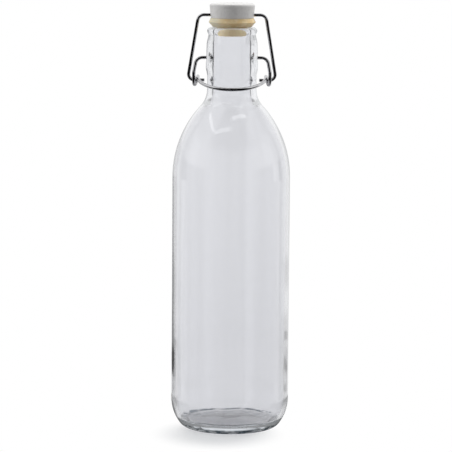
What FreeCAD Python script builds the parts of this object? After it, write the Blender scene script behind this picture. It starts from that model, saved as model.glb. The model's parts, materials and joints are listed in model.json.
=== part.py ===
import FreeCAD, Part
import math
import os
from FreeCAD import Vector

# Swing top bottle: a one litre round glass bottle with a stopper held by bent wire.
# Millimetres, +Z up. The wire handle points to -Y, the wire pins lie along X.
# The origin is the middle of the ring that the bottle stands on.

# Bottle body
body_diameter = 84.0
body_height = 181.0          # from the table to where the shoulder starts to curve in
wall = 2.8
heel_height = 21.0           # from the table to where the side is upright
heel_run = 13.0              # from the body's side in to the ring that the bottle stands on
heel_tip_radius = 9.0        # the tighter of the two rounds at the bottom edge
bearing_width = 2.0          # of the ring that the bottle stands on
bearing_inner_round = 2.0
push_up = 2.5                # height of the hollow under the base
floor_thickness = 5.0
floor_fall = 1.2             # the inside floor is this much lower at its edge
floor_round = 7.5
shoulder_round = 75.0

# Bottle neck and mouth
neck_diameter = 35.2
neck_flare_round = 16.6
bore_diameter = 26.2
bore_flare_round = 14.0
waist_length = 10.4          # plain neck between the flare and the collar
collar_diameter = 37.5
collar_top_diameter = 36.0
collar_length = 23.0
collar_step = 6.0            # height in which the neck swells out to the collar
groove_diameter = 33.6
groove_rise = 5.6            # from the top of the collar to the groove under the bead
bead_diameter = 35.5
bead_rise = 2.0              # from the groove to the widest part of the bead
bead_height = 3.2
lip_outer_round = 2.6
lip_inner_round = 1.2
neck_blend_round = 4.0       # softens both ends of the collar
groove_round = 1.0           # softens the groove and the bead above it

# Wire and its two pivots
wire_diameter = 2.4
pivot_depth = 21.5           # from the lip down to the lever's pivot
dimple_depth = 3.4
dimple_round = 3.2           # trumpet mouth of the dimple that takes a pin
pin_clearance = 0.3
hook_drop = 16.1             # from the lever's pivot down to the bail's hooks
over_centre = 1.5            # the closed bail pulls this far behind the lever's pivot
hook_clearance = 0.3         # between a hook and the top of its eye

# Lever: pins, arms, eyes and round handle
arm_standoff = 8.25          # from the collar's widest part to the arm's centre line at the eye
arm_splay = 2.0              # the arm is this much further out at its knee than at its top
arm_bend = 5.0
knee_rise = 6.0              # from the start of the eye up to the knee
knee_bend = 15.0
eye_inner_diameter = 3.6
eye_side_gap = 0.5           # between the arm and the handle where they cross at the eye
handle_slope = 16.5          # degrees that the closed handle drops towards its front
handle_lead = 1.5            # straight wire between the eye and the round of the handle

# Bail: hooks, legs and the bar through the stopper
leg_standoff = 4.4           # from the arm's line out to the leg's line at the hooks
bar_standoff = 7.6           # from the head's widest part out to the leg's line at the bar
bail_foot_bend = 4.0
bail_top_bend = 4.5
hook_end_gap = 0.65          # from the hook's end to the collar's widest part
wire_end_round = 0.3

# Stopper: moulded head and rubber seal
seat_gap = 0.25              # from the lip to the seal
flange_height = 6.4
flange_base_diameter = 27.4
flange_tip_diameter = 33.6
flange_tip_height = 3.6
flange_tip_round = 0.5
plug_length = 7.1
plug_clearance = 2.2         # all round, between the bore and the root of the plug
plug_taper = 1.9             # on each side, from the root of the plug to its tip
plug_tip_round = 2.0
head_height = 10.6
head_top_diameter = 32.4
head_base_diameter = 30.4
head_crown = 0.5             # the top is this much higher in the middle
head_edge_round = 1.6
head_base_round = 0.5
cross_hole_height = 2.1      # from the head's base to the bar's hole
cross_hole_clearance = 0.1
stem_diameter = 6.4
stem_length = 10.6
barb_diameter = 8.2
barb_height = 2.6
barb_undercut = 0.4
stem_clearance = 0.05

# Worked out from the sizes above. A reach is a centre line's distance from the bottle's axis.
bearing_diameter = body_diameter - 2 * (heel_run + bearing_width)
wire_radius = wire_diameter / 2
eye_radius = (eye_inner_diameter + wire_diameter) / 2
arm_reach = collar_diameter / 2 + arm_standoff
handle_reach = arm_reach - wire_diameter - eye_side_gap
bail_foot_reach = arm_reach + leg_standoff
bail_top_reach = head_top_diameter / 2 + bar_standoff
plug_root_diameter = bore_diameter - 2 * plug_clearance
plug_tip_diameter = plug_root_diameter - 2 * plug_taper

# How the shapes are divided
dome_spread = 0.8            # share of a dome's half radius that its round takes up
eye_span_count = 4           # pairs of arcs along one eye
smallest_run = 1e-6


def line(start, end):
    return Part.LineSegment(start, end).toShape()


def arc(start, middle, end):
    return Part.Arc(start, middle, end).toShape()


def rounded_edges(points, rounds):
    """Straight runs through the points, with a tangent arc at each inner point."""
    edges = []
    start = points[0]
    for before, corner, after, radius in zip(points, points[1:], points[2:], rounds):
        back = (before - corner).normalize()
        ahead = (after - corner).normalize()
        half_turn = (math.pi - back.getAngle(ahead)) / 2
        reach = radius * math.tan(half_turn)
        arc_start = corner + back * reach
        if (arc_start - start).Length > smallest_run:
            edges.append(line(start, arc_start))
        start = corner + ahead * reach
        if radius > 0:
            bulge = radius / math.cos(half_turn) - radius
            edges.append(arc(arc_start, corner + (back + ahead).normalize() * bulge, start))
    if (points[-1] - start).Length > smallest_run:
        edges.append(line(start, points[-1]))
    return edges


def turned(corners):
    """Solid of revolution about Z. Each corner is (radius, height, round), both ends on the axis."""
    points = [Vector(radius, 0, height) for radius, height, _ in corners]
    rounds = [corner_round for _, _, corner_round in corners[1:-1]]
    edges = rounded_edges(points, rounds)
    edges.append(line(points[-1], points[0]))
    face = Part.Face(Part.Wire(edges))
    return face.revolve(Vector(0, 0, 0), Vector(0, 0, 1), 360)


def shoulder(side_radius, side_round, inner_radius, inner_round):
    """Corners at the body side and at the neck, whose rounds run straight into each other.

    The third value is the height at which the flare above the shoulder is upright.
    """
    both_rounds = side_round + inner_round
    across = both_rounds - (side_radius - inner_radius)
    rise = math.sqrt(both_rounds ** 2 - across ** 2)
    share = side_round / both_rounds
    touch_radius = side_radius - side_round + across * share
    touch_height = body_height + rise * share
    climb = across / rise
    side = (side_radius, touch_height - (side_radius - touch_radius) * climb, side_round)
    inner = (inner_radius, touch_height + (touch_radius - inner_radius) * climb, inner_round)
    return side, inner, body_height + rise


def heel(foot_radius):
    """Corners on the table and at the body side, whose rounds run straight into each other."""
    body_radius = body_diameter / 2
    run = body_radius - foot_radius
    spare_run = run - heel_tip_radius
    side_round = (run ** 2 + heel_height ** 2 - 2 * heel_height * heel_tip_radius) / (2 * spare_run)
    across = side_round - run
    up = heel_height - heel_tip_radius
    apart = side_round - heel_tip_radius
    touch_radius = foot_radius + heel_tip_radius * across / apart
    touch_height = heel_tip_radius - heel_tip_radius * up / apart
    climb = across / up
    foot = (touch_radius - touch_height / climb, 0, heel_tip_radius)
    side = (body_radius, touch_height + (body_radius - touch_radius) * climb, side_round)
    return foot, side


def dome(radius, height, fall):
    """Corner halfway out whose round spreads a shallow dome over most of the radius."""
    corner_radius = radius / 2
    slope = math.atan(fall / (radius - corner_radius))
    return corner_radius, height, dome_spread * corner_radius / math.tan(slope / 2)


# Heights on the closed bottle
side_corner, neck_corner, waist_base = shoulder(
    body_diameter / 2, shoulder_round, neck_diameter / 2, neck_flare_round)
collar_base = waist_base + waist_length
collar_top = collar_base + collar_length
groove_height = collar_top + groove_rise
lip_height = groove_height + bead_rise + bead_height
flange_base = lip_height + seat_gap
head_base = flange_base + flange_height
bar_height = head_base + cross_hole_height
pivot_height = lip_height - pivot_depth
hook_height = pivot_height - hook_drop
eye_height = hook_height - (eye_inner_diameter / 2 - wire_radius - hook_clearance)

# How far out the collar's tapering face is beside the pivot
collar_share = (pivot_height - collar_base - collar_step) / (collar_length - collar_step)
pivot_face = (collar_diameter + (collar_top_diameter - collar_diameter) * collar_share) / 2
dimple_floor = pivot_face - dimple_depth
pin_end = dimple_floor + pin_clearance


def dimple():
    """Pocket for one pin on the +X side: a plain socket with a trumpet mouth."""
    socket_radius = wire_radius + pin_clearance
    mouth_radius = socket_radius + 2 * dimple_round
    outside = pivot_face + dimple_depth
    corners = [
        (dimple_floor, 0, 0),
        (dimple_floor, socket_radius, pin_clearance),
        (pivot_face, socket_radius, dimple_round),
        (pivot_face, mouth_radius, 0),
        (outside, mouth_radius, 0),
        (outside, 0, 0),
    ]
    points = [Vector(reach, 0, pivot_height + radius) for reach, radius, _ in corners]
    edges = rounded_edges(points, [corner_round for _, _, corner_round in corners[1:-1]])
    edges.append(line(points[-1], points[0]))
    face = Part.Face(Part.Wire(edges))
    return face.revolve(Vector(0, 0, pivot_height), Vector(1, 0, 0), 360)


def mirrored(shape):
    return shape.mirror(Vector(0, 0, 0), Vector(1, 0, 0))


def make_bottle():
    foot_inside = bearing_diameter / 2
    inner_radius = body_diameter / 2 - wall
    neck_radius = neck_diameter / 2
    bore_radius = bore_diameter / 2
    floor_middle = push_up + floor_thickness
    heel_foot, heel_side = heel(foot_inside + bearing_width)
    inner_side, inner_neck, _ = shoulder(inner_radius, shoulder_round - wall, bore_radius, bore_flare_round)
    outside = [
        (0, push_up, 0),
        dome(foot_inside, push_up, push_up),
        (foot_inside, 0, bearing_inner_round),
        heel_foot,
        heel_side,
        side_corner,
        neck_corner,
        (neck_radius, collar_base, neck_blend_round),
        (collar_diameter / 2, collar_base + collar_step, neck_blend_round),
        (collar_top_diameter / 2, collar_top, neck_blend_round),
        (groove_diameter / 2, groove_height, groove_round),
        (bead_diameter / 2, groove_height + bead_rise, groove_round),
        (bead_diameter / 2, lip_height, lip_outer_round),
    ]
    inside = [
        (bore_radius, lip_height, lip_inner_round),
        inner_neck,
        inner_side,
        (inner_radius, floor_middle - floor_fall, floor_round),
        (0, floor_middle, 0),
    ]
    blank = turned(outside + inside)
    pocket = dimple()
    return blank.cut([pocket, mirrored(pocket)])


def biarc(start, start_way, end, end_way):
    """Two tangent arcs from start to end that leave and arrive in the given directions."""
    span = end - start
    turn = 1 - start_way.dot(end_way)
    both_ways = span.dot(start_way + end_way)
    reach = (math.sqrt(both_ways ** 2 + 2 * turn * span.dot(span)) - both_ways) / (2 * turn)
    first_corner = start + start_way * reach
    second_corner = end - end_way * reach
    joint = (first_corner + second_corner) * 0.5
    return rounded_half(start, first_corner, joint) + rounded_half(joint, second_corner, end)


def rounded_half(start, corner, end):
    """One arc between two points at the same distance from the corner of their tangents."""
    chord = end - start
    half_chord = chord.Length / 2
    tangent = (corner - start).Length
    half_turn = math.acos(half_chord / tangent)
    sagitta = half_chord * math.tan(half_turn / 2)
    chord_middle = (start + end) * 0.5
    return [arc(start, chord_middle + (corner - chord_middle).normalize() * sagitta, end)]


def swept(edges, start, way):
    """Round wire along the edges, with its cut ends softened."""
    path = Part.Wire(Part.__sortEdges__(edges))
    section = Part.Wire(Part.makeCircle(wire_radius, start, way))
    wire = path.makePipeShell([section], True, False)
    print("wire length %.2f, volume over section times length %.5f"
          % (path.Length, wire.Volume / (path.Length * math.pi * wire_radius ** 2)))
    ends = [edge for face in wire.Faces if isinstance(face.Surface, Part.Plane) for edge in face.Edges]
    return wire.makeFillet(wire_end_round, ends)


def eye_station(share, first_turn, last_turn):
    """Point and direction along one eye, which winds back under the bail's hook and over it."""
    turn = first_turn + (last_turn - first_turn) * share
    shift = arm_reach - handle_reach
    reach = arm_reach - shift * (1 - math.cos(math.pi * share)) / 2
    point = Vector(
        reach,
        over_centre - eye_radius * math.cos(turn),
        eye_height - eye_radius * math.sin(turn),
    )
    side_step = -shift * math.pi * math.sin(math.pi * share) / 2 / (last_turn - first_turn)
    way = Vector(side_step, eye_radius * math.sin(turn), -eye_radius * math.cos(turn))
    return point, way.normalize()


def lever_half():
    """Right half of the lever's centre line: pin, arm, eye and half of the handle."""
    slope = math.radians(handle_slope)
    eye_drop = pivot_height - eye_height
    lean = math.asin(eye_radius / math.hypot(over_centre, eye_drop)) - math.atan2(over_centre, eye_drop)
    last_turn = 1.5 * math.pi + slope
    stations = [eye_station(step / eye_span_count, -lean, last_turn) for step in range(eye_span_count + 1)]
    pin_start = Vector(pin_end, 0, pivot_height)
    arm_top = Vector(arm_reach - arm_splay, 0, pivot_height)
    eye_start, eye_way = stations[0]
    knee = eye_start - eye_way * knee_rise
    edges = rounded_edges([pin_start, arm_top, knee, eye_start], [arm_bend, knee_bend])
    for (start, start_way), (end, end_way) in zip(stations, stations[1:]):
        edges += biarc(start, start_way, end, end_way)
    forward = Vector(0, -math.cos(slope), -math.sin(slope))
    eye_exit = stations[-1][0]
    round_start = eye_exit + forward * handle_lead
    centre = Vector(0, round_start.y, round_start.z)
    diagonal = (Vector(1, 0, 0) + forward).normalize()
    edges.append(line(eye_exit, round_start))
    edges.append(arc(round_start, centre + diagonal * handle_reach, centre + forward * handle_reach))
    return edges


def make_lever_wire():
    half = lever_half()
    edges = half + [mirrored(edge) for edge in half]
    return swept(edges, Vector(pin_end, 0, pivot_height), Vector(1, 0, 0))


def make_bail_wire():
    hook_end = collar_diameter / 2 + hook_end_gap
    points = [
        Vector(hook_end, over_centre, hook_height),
        Vector(bail_foot_reach, over_centre, hook_height),
        Vector(bail_top_reach, 0, bar_height),
        Vector(-bail_top_reach, 0, bar_height),
        Vector(-bail_foot_reach, over_centre, hook_height),
        Vector(-hook_end, over_centre, hook_height),
    ]
    bends = [bail_foot_bend, bail_top_bend, bail_top_bend, bail_foot_bend]
    return swept(rounded_edges(points, bends), points[0], Vector(1, 0, 0))


def stem_corners(clearance):
    """Barbed stem below the head, from its root to its tip, grown all round by a clearance."""
    tip = head_base - stem_length
    barb_top = tip + barb_height
    return [
        (stem_diameter / 2 + clearance, head_base, 0),
        (stem_diameter / 2 + clearance, barb_top + barb_undercut + clearance, 0),
        (barb_diameter / 2 + clearance, barb_top + clearance, 0),
        (stem_diameter / 2 + clearance, tip - clearance, barb_undercut),
        (0, tip - clearance, 0),
    ]


def make_stopper_head():
    top = head_base + head_height
    outside = [
        (0, top, 0),
        dome(head_top_diameter / 2, top, head_crown),
        (head_top_diameter / 2, top - head_crown, head_edge_round),
        (head_base_diameter / 2, head_base, head_base_round),
    ]
    head = turned(outside + stem_corners(0))
    hole_radius = wire_radius + cross_hole_clearance
    hole_start = Vector(-head_top_diameter, 0, bar_height)
    return head.cut(Part.makeCylinder(hole_radius, 2 * head_top_diameter, hole_start, Vector(1, 0, 0)))


def make_seal():
    plug_base = flange_base - plug_length
    outside = [
        (0, plug_base, 0),
        (plug_tip_diameter / 2, plug_base, plug_tip_round),
        (plug_root_diameter / 2, flange_base, flange_tip_round),
        (flange_base_diameter / 2, flange_base, flange_tip_round),
        (flange_tip_diameter / 2, flange_base + flange_tip_height, flange_tip_round),
        (head_base_diameter / 2, head_base, 0),
    ]
    return turned(outside + stem_corners(stem_clearance))


os.makedirs("parts", exist_ok=True)
nodes = {
    "bottle": make_bottle(),
    "lever_wire": make_lever_wire(),
    "bail_wire": make_bail_wire(),
    "stopper_head": make_stopper_head(),
    "seal": make_seal(),
}
for name, shape in nodes.items():
    print("%s: %d solid, valid %s, %.1f cubic mm" % (name, len(shape.Solids), shape.isValid(), shape.Volume))
    shape.exportStep("parts/%s.step" % name)
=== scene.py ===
"""Dresses the swing top bottle: clear glass, bent steel wire, moulded head and rubber seal.

Sizes of shapes are millimetres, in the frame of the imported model. Meshes, finishes and the studio are metres.
"""
import json
import logging
import math
from abc import ABC, abstractmethod
from dataclasses import dataclass
from enum import Enum
from typing import Any, Callable, ClassVar, Optional, Sequence

import bmesh
import bpy
from mathutils import Euler, Matrix, Vector


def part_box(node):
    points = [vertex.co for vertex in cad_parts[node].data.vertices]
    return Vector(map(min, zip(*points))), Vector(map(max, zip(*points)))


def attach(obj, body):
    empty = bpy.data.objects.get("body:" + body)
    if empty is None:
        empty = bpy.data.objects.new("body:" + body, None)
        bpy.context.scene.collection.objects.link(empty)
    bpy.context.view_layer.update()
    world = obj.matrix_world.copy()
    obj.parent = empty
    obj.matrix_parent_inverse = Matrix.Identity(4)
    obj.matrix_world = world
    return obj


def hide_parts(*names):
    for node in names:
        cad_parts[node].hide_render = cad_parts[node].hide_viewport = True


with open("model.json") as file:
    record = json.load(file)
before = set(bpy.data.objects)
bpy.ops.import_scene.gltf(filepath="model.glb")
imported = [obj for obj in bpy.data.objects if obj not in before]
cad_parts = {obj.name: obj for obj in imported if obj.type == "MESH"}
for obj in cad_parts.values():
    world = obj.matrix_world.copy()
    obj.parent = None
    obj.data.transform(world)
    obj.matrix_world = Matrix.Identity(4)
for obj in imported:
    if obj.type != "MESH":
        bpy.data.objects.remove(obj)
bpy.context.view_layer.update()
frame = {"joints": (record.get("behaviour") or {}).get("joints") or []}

MM = 0.001
TINY = 1e-6
SHARP_EDGE = math.radians(40.0)
OUTLINE_TURN = math.radians(7.0)
LOG = logging.getLogger("swing_top_bottle")

Socket = bpy.types.NodeSocket
Mesh = bpy.types.Mesh
Shading = tuple[Socket, Optional[Socket]]
Colour = tuple[float, float, float, float]
Triple = tuple[float, float, float]
Span = tuple[float, float]
Stops = Sequence[tuple[float, float]]
Waves = Sequence[tuple[float, int, float, float]]
Stray = Callable[[int, float, Vector], Vector]
Ring = tuple[Vector, Vector, Vector, float, float]


class Node(str, Enum):
    """The solids that the pieces stand for."""

    BOTTLE = "bottle"
    LEVER = "lever_wire"
    BAIL = "bail_wire"
    HEAD = "stopper_head"
    SEAL = "seal"


class Body(str, Enum):
    """The bodies that move."""

    BOTTLE = "bottle"
    LEVER = "lever"
    BAIL = "bail"
    STOPPER = "stopper"


class Slot(str, Enum):
    """The finishes that the record names."""

    GLASS = "clear_glass"
    WIRE = "steel_wire"
    HEAD = "head_plastic"
    SEAL = "seal_rubber"


class Role(str, Enum):
    """What a lamp is for: to light the scene, or only to be mirrored."""

    LIGHT = "lamp"
    MIRRORED = "window"


class Hinge(str, Enum):
    """The hinges whose places the wires share."""

    LEVER = "lever_pivot"
    HOOKS = "bail_pivot"
    BAR = "stopper_swivel"


def grey(level: float) -> Colour:
    """A neutral colour of one level."""
    return (level, level, level, 1.0)


def hinge_place(hinge: Hinge) -> Vector:
    """Finds a point on a hinge's axis, in millimetres."""
    joint = next(j for j in frame["joints"] if j["name"] == hinge.value)
    return Vector(joint["pos_m"]) / MM


def linked(name: str, data: Any) -> bpy.types.Object:
    """Makes an object and links it to the scene.

    Args:
        name: The object's name.
        data: Its mesh, lamp or camera.

    Returns:
        The object.
    """
    made = bpy.data.objects.new(name, data)
    bpy.context.scene.collection.objects.link(made)
    return made


class Graph:
    """A node tree with a short way to add and wire nodes."""

    def __init__(self, tree: bpy.types.NodeTree) -> None:
        """Starts with the tree emptied."""
        self.tree = tree
        tree.nodes.clear()

    def add(self, kind: str, inputs: Optional[dict[Any, Any]] = None, **settings: Any) -> bpy.types.Node:
        """Adds a node.

        Args:
            kind: Blender's name for the node's type.
            inputs: What each input takes, by name or number: a socket or a plain value.
            **settings: The node's own properties.

        Returns:
            The new node.
        """
        node = self.tree.nodes.new(kind)
        for name, value in settings.items():
            setattr(node, name, value)
        for name, value in (inputs or {}).items():
            if isinstance(value, Socket):
                self.tree.links.new(value, node.inputs[name])
            else:
                node.inputs[name].default_value = value
        return node

    def coordinates(self, name: str = "Object") -> Socket:
        """Gives one of the texture coordinates."""
        return self.add("ShaderNodeTexCoord").outputs[name]

    def parts(self, vector: Socket) -> tuple[Socket, ...]:
        """Splits a vector into X, Y and Z."""
        return tuple(self.add("ShaderNodeSeparateXYZ", {0: vector}).outputs)

    def length(self, vector: Socket) -> Socket:
        """Gives the length of a vector."""
        return self.add("ShaderNodeVectorMath", {0: vector}, operation="LENGTH").outputs["Value"]

    def stretched(self, vector: Socket, scale: Triple) -> Socket:
        """Scales coordinates by a different amount along each axis."""
        return self.add("ShaderNodeMapping", {"Vector": vector, "Scale": scale}).outputs[0]

    def maths(self, operation: str, first: Any, second: Any = 0.0) -> Socket:
        """Gives the result of one sum on two values."""
        return self.add("ShaderNodeMath", {0: first, 1: second}, operation=operation).outputs[0]

    def product(self, first: Any, second: Any) -> Socket:
        """Multiplies two values."""
        return self.maths("MULTIPLY", first, second)

    def mapped(self, value: Any, source: Span, target: Span) -> Socket:
        """Maps one range of a value to another, smoothly and without going past its ends."""
        inputs = {0: value, 1: source[0], 2: source[1], 3: target[0], 4: target[1]}
        return self.add("ShaderNodeMapRange", inputs, interpolation_type="SMOOTHSTEP").outputs[0]

    def rising(self, value: Any, source: Span) -> Socket:
        """Goes from 0 to 1 across a range of a value."""
        return self.mapped(value, source, (0.0, 1.0))

    def falling(self, value: Any, source: Span) -> Socket:
        """Goes from 1 to 0 across a range of a value."""
        return self.mapped(value, source, (1.0, 0.0))

    def blended(self, share: Any, first: Any, second: Any) -> Socket:
        """Mixes two colours by a share of the second."""
        return self.add("ShaderNodeMix", {0: share, 6: first, 7: second}, data_type="RGBA").outputs[2]

    def ramp(self, value: Any, stops: Stops) -> Socket:
        """Gives the grey level at a value between stops.

        Args:
            value: Where between the stops.
            stops: Pairs of (place, level), going up.

        Returns:
            The level.
        """
        node = self.add("ShaderNodeValToRGB", {0: value})
        elements = node.color_ramp.elements
        while len(elements) < len(stops):
            elements.new(1.0)
        for element, (place, level) in zip(elements, stops):
            element.position = place
            element.color = grey(level)
        return node.outputs[0]

    def bump(self, height: Any, depth: float, under: Optional[Socket] = None) -> Socket:
        """Raises the surface by a height map.

        Args:
            height: The map, from 0 to 1.
            depth: How far 1 is raised, in metres.
            under: The normal of a coarser bump below this one.

        Returns:
            The normal.
        """
        inputs = {"Height": height, "Distance": depth, "Strength": 1.0}
        if under is not None:
            inputs["Normal"] = under
        return self.add("ShaderNodeBump", inputs).outputs[0]

    def principled(self, inputs: dict[Any, Any]) -> Socket:
        """Gives a Principled surface."""
        return self.add("ShaderNodeBsdfPrincipled", inputs).outputs[0]

    def emission(self, colour: Any) -> Socket:
        """Gives a surface that only glows."""
        return self.add("ShaderNodeEmission", {"Color": colour}).outputs[0]

    def mixed(self, share: Any, first: Socket, second: Socket) -> Socket:
        """Mixes two surfaces by a share of the second."""
        return self.add("ShaderNodeMixShader", {0: share, 1: first, 2: second}).outputs[0]

    def ray(self, kind: str) -> Socket:
        """Tells one kind of ray from the others."""
        return self.add("ShaderNodeLightPath").outputs[kind]

    def first_hand(self) -> Socket:
        """Tells the rays that no matt surface has scattered yet."""
        return self.maths("LESS_THAN", self.ray("Diffuse Depth"), 0.5)


@dataclass(frozen=True)
class Grain:
    """A noise that makes a finish uneven."""

    cells: float
    detail: float
    reach: Span = (0.3, 0.7)
    stretch: Triple = (1.0, 1.0, 1.0)

    def noise(self, graph: Graph, place: Socket) -> Socket:
        """Gives the noise, between 0 and 1."""
        inputs = {"Vector": graph.stretched(place, self.stretch), "Scale": self.cells, "Detail": self.detail}
        return graph.add("ShaderNodeTexNoise", inputs).outputs[0]

    def spread(self, graph: Graph, place: Socket, target: Span = (0.0, 1.0)) -> Socket:
        """Gives the noise with its reach mapped to a range."""
        return graph.mapped(self.noise(graph, place), self.reach, target)


class Finish(ABC):
    """What a surface is made of."""

    name: ClassVar[str]

    def material(self) -> bpy.types.Material:
        """Makes the finish's material.

        Returns:
            A new material with the finish's nodes.
        """
        made = bpy.data.materials.new(self.name)
        made.use_nodes = True
        graph = Graph(made.node_tree)
        surface, volume = self.shade(graph)
        inputs = {"Surface": surface}
        if volume is not None:
            inputs["Volume"] = volume
        graph.add("ShaderNodeOutputMaterial", inputs)
        return made

    @abstractmethod
    def shade(self, graph: Graph) -> Shading:
        """Builds the nodes.

        Args:
            graph: The material's empty tree.

        Returns:
            The surface's socket and, where the inside is tinted, the volume's.
        """


@dataclass(frozen=True)
class ClearGlass(Finish):
    """Moulded soda-lime glass with a faint cool tint, a light haze and a hint of ripple."""

    name: ClassVar[str] = "clear_glass"
    index: float = 1.52
    # Painted shade: the glass is darker towards the bottom, from the low tint up to the high tint.
    low_tint: Colour = (0.861, 0.864, 0.886, 1.0)
    high_tint: Colour = (0.894, 0.897, 0.917, 1.0)
    tint_reach: Span = (0.03, 0.26)
    depth_tint: Colour = (0.80, 0.86, 0.90, 1.0)
    depth_density: float = 8.0
    haze: Span = (0.0, 0.035)
    smudges: Grain = Grain(45.0, 5.0, (0.45, 0.75))
    ripple: Grain = Grain(1.0, 2.0, stretch=(60.0, 60.0, 16.0))
    ripple_depth: float = 0.00002
    streaks: Grain = Grain(1.0, 2.0, stretch=(110.0, 110.0, 5.0))
    streak_depth: float = 0.014
    half_width: float = 0.042
    # Painted shade: over the base the glass is darkened to this share of the low tint.
    base_shade: float = 0.56
    base_radius: Span = (0.0317, 0.0320)
    base_height: Span = (0.0088, 0.0092)
    # Painted shade: a dark blue-black, in patches, round the bottom of the heel.
    foot_shade: Colour = (0.02, 0.035, 0.05, 1.0)
    foot_height: Span = (0.0030, 0.0052)
    foot_radius: Span = (0.0285, 0.0295)
    foot_patches: Grain = Grain(150.0, 1.0, (0.38, 0.52))
    foot_share: Span = (0.25, 1.0)
    # Rays that bounce more often than this in the body, the neck and the lip are caught in the wall.
    most_bounces: Triple = (5.5, 4.5, 7.5)
    neck_change: Span = (0.200, 0.205)
    lip_change: Span = (0.2755, 0.2765)
    caught_height: float = 0.3
    # How bright the painted glow is that caught rays see, from the foot to the lip: painted light and shade.
    painted_glow_levels: ClassVar[Stops] = (
        (0.10, 0.33), (0.125, 0.09), (0.175, 0.09), (0.20, 0.36), (0.66, 0.7), (0.87, 0.7), (0.92, 0.25),
        (1.0, 0.25))
    # Painted shade across the glass from its left side to its right: darker through the middle, with a lighter
    # band to its right.
    shade_bands: ClassVar[Stops] = (
        (0.0, 1.0), (0.26, 1.0), (0.36, 0.985), (0.44, 0.975), (0.67, 0.973), (0.71, 0.998), (0.76, 0.998),
        (0.82, 0.988), (0.97, 0.986), (1.0, 0.97))

    def tint(self, graph: Graph, place: Socket) -> Socket:
        """Colours the glass: darker towards the bottom as painted shade, in upright streaks, with painted shade
        from left to right, and darker at the foot and over the base as painted shade.

        Args:
            graph: The material's tree.
            place: The place on the bottle.

        Returns:
            The colour.
        """
        x, y, z = graph.parts(place)
        squares = graph.maths("ADD", graph.maths("POWER", x, 2.0), graph.maths("POWER", y, 2.0))
        away = graph.maths("SQRT", squares)
        # Painted shade: darker towards the bottom.
        colour = graph.blended(graph.rising(z, self.tint_reach), self.low_tint, self.high_tint)
        streaks = self.streaks.spread(graph, place, (1.0 - self.streak_depth, 1.0))
        across = graph.rising(x, (-self.half_width, self.half_width))
        # The clarity is the glass's own streaks times the painted shade from left to right.
        clarity = graph.product(streaks, graph.ramp(across, self.shade_bands))
        colour = graph.add("ShaderNodeVectorMath", {0: colour, 3: clarity}, operation="SCALE").outputs[0]
        # Painted shade at the foot.
        foot = graph.product(graph.falling(z, self.foot_height), graph.rising(away, self.foot_radius))
        foot = graph.product(foot, self.foot_patches.spread(graph, place, self.foot_share))
        colour = graph.blended(foot, colour, self.foot_shade)
        # Painted shade over the base, for the shadowed table under it.
        base = graph.product(graph.falling(away, self.base_radius), graph.falling(z, self.base_height))
        shaded = tuple(level * self.base_shade for level in self.low_tint[:3]) + (1.0,)
        return graph.blended(base, colour, shaded)

    def caught(self, graph: Graph, height: Socket) -> tuple[Socket, Socket]:
        """Finds the rays that are caught inside the wall.

        Args:
            graph: The material's tree.
            height: The height on the bottle.

        Returns:
            Whether a ray is caught, and the painted glow that it then sees.
        """
        body, neck, lip = self.most_bounces
        most = graph.maths("ADD", graph.mapped(height, self.neck_change, (body, neck)),
                           graph.mapped(height, self.lip_change, (0.0, lip - neck)))
        lost = graph.product(graph.maths("GREATER_THAN", graph.ray("Ray Depth"), most), graph.first_hand())
        level = graph.ramp(graph.maths("DIVIDE", height, self.caught_height), self.painted_glow_levels)
        # Painted light: the caught rays see a glowing grey.
        return lost, graph.emission(level)

    def shade(self, graph: Graph) -> Shading:
        """Builds glass that bends light and lets the lamps through.

        Args:
            graph: The material's empty tree.

        Returns:
            The surface's socket and the volume's.
        """
        place = graph.coordinates()
        glass = graph.principled({
            "Base Color": self.tint(graph, place),
            "Roughness": self.smudges.spread(graph, place, self.haze),
            "IOR": self.index,
            "Transmission Weight": 1.0,
            "Normal": graph.bump(self.ripple.noise(graph, place), self.ripple_depth),
        })
        # Painted glow where rays are caught in the wall.
        lost, painted_glow = self.caught(graph, graph.parts(place)[2])
        clear = graph.add("ShaderNodeBsdfTransparent").outputs[0]
        surface = graph.mixed(graph.ray("Is Shadow Ray"), graph.mixed(lost, glass, painted_glow), clear)
        depth = {"Color": self.depth_tint, "Density": self.depth_density}
        return surface, graph.add("ShaderNodeVolumeAbsorption", depth).outputs[0]


@dataclass(frozen=True)
class DrawnWire(Finish):
    """Polished steel wire with fine lines along it, left by the die that it was drawn through."""

    name: ClassVar[str] = "drawn_steel_wire"
    uv_map: ClassVar[str] = "along_wire"
    bright: Colour = (0.56, 0.56, 0.575, 1.0)
    dull: Colour = (0.36, 0.355, 0.36, 1.0)
    stains: Grain = Grain(220.0, 4.0, (0.5, 0.8))
    lines: Grain = Grain(1.0, 5.0, stretch=(60.0, 26.0, 1.0))
    line_depth: float = 0.000004
    roughness: Span = (0.05, 0.12)

    def shade(self, graph: Graph) -> Shading:
        """Builds the metal.

        Args:
            graph: The material's empty tree.

        Returns:
            The surface's socket and no volume.
        """
        along = graph.add("ShaderNodeUVMap", uv_map=self.uv_map).outputs[0]
        lines = self.lines.noise(graph, along)
        stains = self.stains.spread(graph, graph.coordinates())
        return graph.principled({
            "Base Color": graph.blended(stains, self.bright, self.dull),
            "Metallic": 1.0,
            "Roughness": graph.mapped(lines, self.lines.reach, self.roughness),
            "Normal": graph.bump(lines, self.line_depth),
        }), None


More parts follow.
